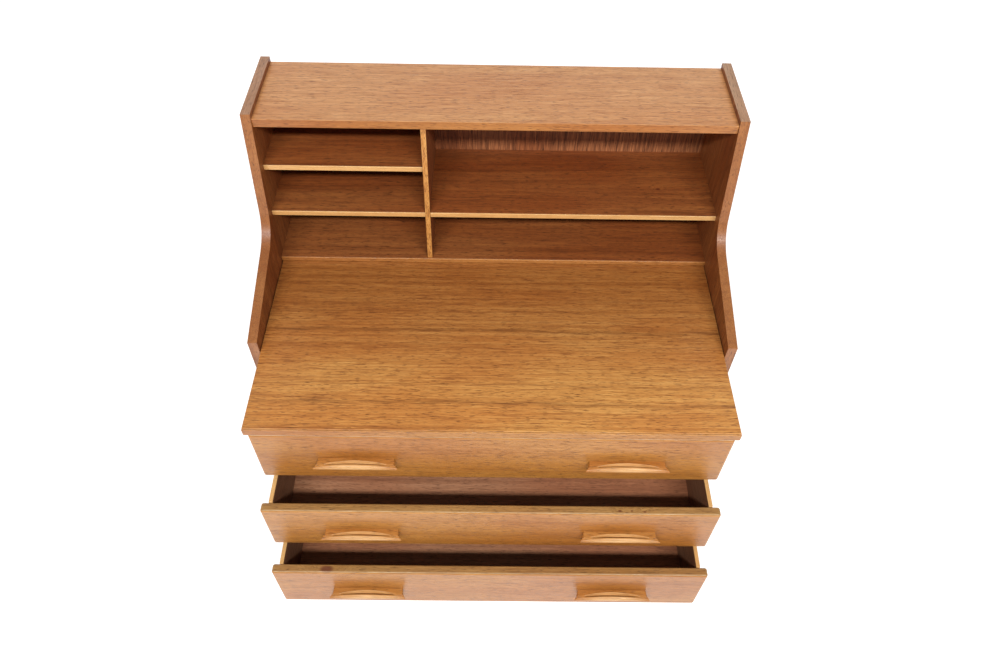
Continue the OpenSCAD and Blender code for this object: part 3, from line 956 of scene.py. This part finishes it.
@dataclass
class WritingSlide:
    """The writing board and its front lipping.

    Attributes:
        body: The body that the pieces ride on.
        edge: The rounding of their edges.
        streaks: The board's dark streaks, with their places counted from its front edge.
        painted_shade: Painted shade that darkens the board towards its back, counted likewise.
    """

    body: str = "writing_slide"
    edge: float = 1.4 * MM
    streaks: tuple[Streak, ...] = (
        Streak(224 * MM, 7 * MM, 0.65),
        Streak(191 * MM, 3 * MM, 0.35),
        Streak(98 * MM, 4 * MM, 0.4),
        Streak(58 * MM, 6 * MM, 0.6),
        Streak(303 * MM, 3 * MM, 0.3),
    )
    # Painted shade: the board darkens towards its back, where it is less lit.
    painted_shade: PaintedShade = PaintedShade(43 * MM, 373 * MM, "#cbb6aa")

    def build(self) -> None:
        """Build the board and its lipping."""
        low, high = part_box("writing_board")
        bm = board(low, high)
        ease(bm, self.edge)
        streaks = tuple(replace(streak, across=low.y + streak.across) for streak in self.streaks)
        painted_shade = replace(self.painted_shade, near=low.y + self.painted_shade.near, far=low.y + self.painted_shade.far)
        material = VENEER.material(Grain.ALONG_X, streaks=streaks, painted_shades=(painted_shade,))
        seat(bm, "writing_board", self.body, [material])
        wooden("writing_board_lipping", self.body, FRONT_TEAK, Grain.ALONG_X, (0.1, 0.9, 0.0),
               self.edge, False)


@dataclass
class Drawer:
    """A drawer: its front, its box, its two handles and their screws.

    Attributes:
        name: The drawer's place: top, middle or lower.
        number: Its number, which sets where its timber was cut.
        knots: Knots by the front's upper edge: how far right of its middle, how far behind its
            face and the radius of the heart.
        knot_depth: How far below the upper edge they lie.
        front_round, side_round, bottom_edge: The rounding of the pieces' edges.
    """

    name: str
    number: int
    knots: tuple[Triple, ...] = ()
    knot_depth: float = 1 * MM
    front_round: float = 4.5 * MM
    side_round: float = 1.5 * MM
    bottom_edge: float = 0.2 * MM

    def build(self) -> None:
        """Build the drawer's pieces in order."""
        self.front()
        self.box()
        for step, side in enumerate(("left", "right")):
            Handle(f"{self.name}_handle_{side}", self.body, (self.number * 0.7, step * 0.7, 0.0)).build()
        hardware(self.name + "_handle_screws", self.body, STEEL)

    @property
    def body(self) -> str:
        """The body that the drawer's pieces ride on."""
        return self.name + "_drawer"

    def front(self) -> None:
        """Make the rounded drawer front."""
        node = self.name + "_drawer_front"
        bm = cad_copy(node)
        low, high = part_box(node)
        outer = [e for e in sharp_edges(bm) if all(self.is_corner(v.co, low, high) for v in e.verts)]
        ease(bm, self.front_round, 4, outer)
        shift = (self.number * 1.3, self.number * 0.5, 0.0)
        middle = (low.x + high.x) / 2
        knots = tuple(Knot((middle + along, low.y + behind, high.z - self.knot_depth), radius)
                      for along, behind, radius in self.knots)
        materials = [timber.material(Grain.ALONG_X, shift, knots=knots)
                     for timber in (FRONT_TEAK, FRONT_EDGE)]
        seat(bm, node, self.body, materials, {Side.TOP: 1})

    @staticmethod
    def is_corner(point: Vector, low: Vector, high: Vector) -> bool:
        """Tell whether a point is a corner of the box between two corners.

        Args:
            point: The point.
            low: The lowest corner.
            high: The highest corner.

        Returns:
            True for a corner.
        """
        return all(min(abs(p - a), abs(p - b)) < MERGE_GAP for p, a, b in zip(point, low, high))

    def box(self) -> None:
        """Make the drawer's sides, back and bottom."""
        shift = self.number * 0.9
        for step, side in enumerate(("side_left", "side_right")):
            node = f"{self.body}_{side}"
            bm = cad_copy(node)
            ease(bm, self.side_round)
            materials = [BEECH.material(Grain.ALONG_Y, (shift, step * 0.5, 0.0)),
                         SIDE_BROWN.material(Grain.ALONG_Y, (shift, step * 0.5, 0.4))]
            seat(bm, node, self.body, materials, {Side.LEFT: 1, Side.RIGHT: 1})
        wooden(self.body + "_back", self.body, BEECH, Grain.ALONG_X, (shift, 0.3, 0.0), copy=False)
        wooden(self.body + "_bottom", self.body, DRAWER_PLY, Grain.ALONG_X, (shift, 0.6, 0.0),
               self.bottom_edge)


@dataclass
class Handle:
    """A carved pull: a lip with an arched top, a finger scoop behind it and ends that flare.

    The section's points run from the back of the handle over its top and under its lip. Each
    holds how far out it stands and how high, then its share of the lip's arch, its depth in the
    scoop and how far it moves out where the scoop ends. All but the share are in millimetres.

    Attributes:
        node: The handle's node.
        body: The body that it rides on.
        shift: Where in the timber it was cut.
        front_length: Its length at the drawer's front, before the ends flare.
        scoop_length: The length of the finger scoop.
        rise: How far below the handle's upper edge the section's heights start.
        fall: How far the lip's arch falls towards the ends.
        drift_share: The share of the section's outward drift that shows.
        steps: The number of stretches between its two short end ones.
        end_share: The length of an end stretch, as a share of half the handle's.
        section: The points of its section.
        painted_highlight: The first and the last of the points whose faces get a painted highlight,
            strongest at the middle.
    """

    node: str
    body: str
    shift: Triple
    front_length: float = 137 * MM
    scoop_length: float = 110 * MM
    rise: float = 5 * MM
    fall: float = 6 * MM
    drift_share: float = 0.9
    steps: int = 40
    end_share: float = 0.012
    section: tuple[tuple[float, float, float, float, float], ...] = (
        (-2.0, -19.0, 0.0, 0.0, 0.0), (-2.0, -8.0, 0.0, 0.0, 0.0), (-2.0, -0.2, 0.0, 0.0, 0.0),
        (0.2, 0.0, 0.0, 0.0, 0.0), (2.0, 0.6, 0.1, 0.0, 1.0), (4.2, 1.3, 0.2, 0.0, 5.0),
        (5.0, 1.6, 0.2, 0.0, 7.0), (5.3, 1.7, 0.2, 0.5, 7.2), (9.0, 3.0, 0.5, 8.0, 4.0),
        (11.4, 3.9, 0.7, 12.0, 1.8), (13.0, 4.5, 0.8, 11.6, 0.5), (14.0, 4.9, 0.9, 1.4, 0.2),
        (14.4, 5.0, 1.0, 0.1, 0.4), (15.4, 5.0, 1.0, 0.0, 0.6), (17.8, 4.5, 1.0, 0.0, 0.2),
        (19.5, 3.0, 1.0, 0.0, 0.0), (20.0, 0.0, 0.7, 0.0, 0.0), (20.0, -5.0, 0.0, 0.0, 0.0),
        (19.7, -5.9, 0.0, 0.0, 0.0), (18.6, -6.7, 0.0, 0.0, 0.0), (15.4, -9.1, 0.0, 0.0, 0.0),
        (12.6, -13.0, 0.0, 0.0, 0.0), (11.2, -17.0, 0.0, 0.0, 0.0), (10.8, -19.4, 0.0, 0.0, 0.0),
        (10.2, -20.0, 0.0, 0.0, 0.0), (5.0, -20.0, 0.0, 0.0, 0.0),
    )
    painted_highlight: tuple[int, int] = (6, 17)

    def build(self) -> None:
        """Extrude the section along the handle, shaping every step of it."""
        low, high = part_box(self.node)
        bm = bmesh.new()
        mark = bm.verts.layers.int.new("section_point")
        ring = []
        for number in range(len(self.section)):
            vert = bm.verts.new(self.point(low, high, number, -1.0))
            vert[mark] = number
            ring.append(vert)
        edges = [bm.edges.new(pair) for pair in zip(ring, ring[1:] + ring[:1])]
        bmesh.ops.edgeloop_fill(bm, edges=edges)
        inner = 1.0 - self.end_share
        shares = [-inner + 2.0 * inner * i / self.steps for i in range(self.steps + 1)]
        for share in (*shares, 1.0):
            made = bmesh.ops.extrude_edge_only(bm, edges=edges)["geom"]
            fresh = {v for v in made if isinstance(v, bmesh.types.BMVert)}
            edges = [e for e in made if isinstance(e, bmesh.types.BMEdge) and fresh.issuperset(e.verts)]
            for vert in fresh:
                vert.co = self.point(low, high, vert[mark], share)
        bmesh.ops.edgeloop_fill(bm, edges=edges)
        bmesh.ops.recalc_face_normals(bm, faces=bm.faces)
        # Painted highlight: the faces from the scoop's rim over the lip to its front face are lightened,
        # most at the handle's middle.
        layer = bm.faces.layers.float.new(EDGE_LAYER)
        first, last = self.painted_highlight
        middle = (low.x + high.x) / 2
        for face in bm.faces:
            if all(first <= vert[mark] <= last for vert in face.verts):
                share = (face.calc_center_median().x - middle) / (self.front_length / 2)
                face[layer] = max(0.0, 1.0 - share ** 2)
        piece = seat(bm, self.node, self.body,
                     [HANDLE_TEAK.material(Grain.ALONG_X, self.shift)], crisp=180.0)
        piece.modifiers.clear()
        round_off = piece.modifiers.new("carving", "SUBSURF")
        round_off.levels = round_off.render_levels = 2

    def point(self, low: Vector, high: Vector, number: int, share: float) -> Vector:
        """Place one of the section's points at one step along the handle.

        Args:
            low: The lowest corner of the handle's box.
            high: Its highest corner.
            number: The point's number in the section.
            share: The step's place, from -1 at the left end to 1 at the right end.

        Returns:
            The point in the frame.
        """
        out, height, arch, depth, drift = self.section[number]
        out, height, depth, drift = (value * MM for value in (out, height, depth, drift))
        reach = high.y - low.y
        flare = (high.x - low.x - self.front_length) / 2
        radius = (reach ** 2 + flare ** 2) / (2 * flare)
        end = self.front_length / 2 + radius - math.sqrt(radius ** 2 - max(out, 0.0) ** 2)
        along = share * end
        hollow = max(0.0, 1.0 - (2 * along / self.scoop_length) ** 2)
        lift = height - arch * self.fall * share ** 2 - depth * math.sqrt(hollow)
        out += drift * (1.0 - hollow) * self.drift_share
        return Vector(((low.x + high.x) / 2 + along, high.y - out, high.z - self.rise + lift))


@dataclass(frozen=True)
class SoftLight:
    """A rectangular lamp.

    Attributes:
        name: The light's name.
        place: Where it hangs.
        aim: The point that it shines at.
        size: Its width and height.
        power: Its power in watts.
    """

    name: str
    place: Triple
    aim: Triple
    size: tuple[float, float]
    power: float


@dataclass
class Studio:
    """The pale floor, the soft lights and the camera, with angles in degrees."""

    floor_half: float = 12.0
    floor_glow: float = 0.45
    eye: Triple = (-0.0041, -0.9664, 1.8865)
    lens: float = 28.25
    sensor: float = 36.0
    pitch: float = 50.5
    yaw: float = 0.8
    roll: float = 1.3
    near_clip: float = 50 * MM
    world_light: float = 0.3
    lights: tuple[SoftLight, ...] = (
        SoftLight("key_light_left", (-1.1, -2.3, 3.3), (-1.1, 0.0, 0.6), (1.6, 0.22), 82.0),
        SoftLight("key_light_right", (1.2, -2.3, 3.3), (1.2, 0.0, 0.6), (1.6, 0.22), 82.0),
        SoftLight("back_wall_light", (0.0, 3.2, 2.0), (0.0, 0.2, 0.9), (5.0, 2.6), 45.0),
    )

    def build(self) -> None:
        """Set up the floor, the lights and the camera."""
        self.floor()
        self.world()
        for light in self.lights:
            self.hang(light)
        self.camera()
        scene = bpy.context.scene
        scene.view_settings.view_transform = "Standard"
        scene.view_settings.look = "None"

    def floor(self) -> None:
        """Lay a wide pale floor."""
        bm = bmesh.new()
        bmesh.ops.create_grid(bm, x_segments=1, y_segments=1, size=self.floor_half)
        mesh = bpy.data.meshes.new("studio_floor")
        bm.to_mesh(mesh)
        bm.free()
        make = Recipe("pale_floor")
        at = make.place()
        tone = make.mix(make.noise(at, (0.6, 0.6, 0.6), 2.0), shade("#f4f4f4"), shade("#f8f8f8"))
        diffuse = make.add("BsdfDiffuse")
        make.feed(diffuse.inputs["Color"], tone)
        glow = make.add("Emission")
        glow.inputs["Strength"].default_value = self.floor_glow
        both = make.add("AddShader")
        make.feed(both.inputs[0], diffuse.outputs[0])
        make.feed(both.inputs[1], glow.outputs[0])
        output = make.add("OutputMaterial")
        make.feed(output.inputs["Surface"], both.outputs[0])
        mesh.materials.append(make.material)
        floor = bpy.data.objects.new("studio_floor", mesh)
        bpy.context.scene.collection.objects.link(floor)

    def world(self) -> None:
        """Fill the room with even white light."""
        world = bpy.data.worlds.new("studio_room")
        world.use_nodes = True
        background = world.node_tree.nodes["Background"]
        background.inputs["Color"].default_value = (1.0, 1.0, 1.0, 1.0)
        background.inputs["Strength"].default_value = self.world_light
        bpy.context.scene.world = world

    def hang(self, light: SoftLight) -> None:
        """Hang one soft light.

        Args:
            light: The light.
        """
        lamp = bpy.data.lights.new(light.name, "AREA")
        lamp.shape = "RECTANGLE"
        lamp.size, lamp.size_y = light.size
        lamp.energy = light.power
        holder = bpy.data.objects.new(light.name, lamp)
        holder.location = light.place
        holder.rotation_mode = "QUATERNION"
        holder.rotation_quaternion = (Vector(light.aim) - Vector(light.place)).to_track_quat("-Z", "Y")
        bpy.context.scene.collection.objects.link(holder)

    def camera(self) -> None:
        """Stand the camera in front of the desk, looking down on it."""
        lens = bpy.data.cameras.new("camera")
        lens.lens = self.lens
        lens.sensor_width = self.sensor
        lens.clip_start = self.near_clip
        pitch, yaw, roll = (math.radians(a) for a in (self.pitch, self.yaw, self.roll))
        ahead = Vector((math.sin(yaw) * math.cos(pitch), math.cos(yaw) * math.cos(pitch),
                        -math.sin(pitch)))
        level = Vector((math.cos(yaw), -math.sin(yaw), 0.0))
        upright = level.cross(ahead)
        right = level * math.cos(roll) + upright * math.sin(roll)
        up = upright * math.cos(roll) - level * math.sin(roll)
        turn = Matrix((right, up, -ahead)).transposed()
        holder = bpy.data.objects.new("camera", lens)
        holder.matrix_world = Matrix.Translation(self.eye) @ turn.to_4x4()
        bpy.context.scene.collection.objects.link(holder)
        bpy.context.scene.camera = holder


@dataclass
class Desk:
    """The whole desk."""

    case: Case = field(default_factory=Case)
    hutch: Hutch = field(default_factory=Hutch)
    base: Base = field(default_factory=Base)
    slide: WritingSlide = field(default_factory=WritingSlide)
    drawers: tuple[Drawer, ...] = (
        Drawer("top", 0),
        Drawer("middle", 1, ((237.5 * MM, 7.8 * MM, 2.8 * MM), (259.7 * MM, 8 * MM, 2.2 * MM),
                             (283.5 * MM, 6.3 * MM, 2.5 * MM))),
        Drawer("lower", 2, ((-318 * MM, 8 * MM, 9.5 * MM),)),
    )

    def build(self) -> None:
        """Build every sub-assembly in order."""
        for part in (self.case, self.hutch, self.base, self.slide, *self.drawers):
            LOG.info("building %s", type(part).__name__)
            part.build()


def main() -> None:
    """Build the studio and the desk."""
    logging.basicConfig(level=logging.INFO, format="%(name)s %(message)s")
    Studio().build()
    Desk().build()


if __name__ == "__main__":
    main()
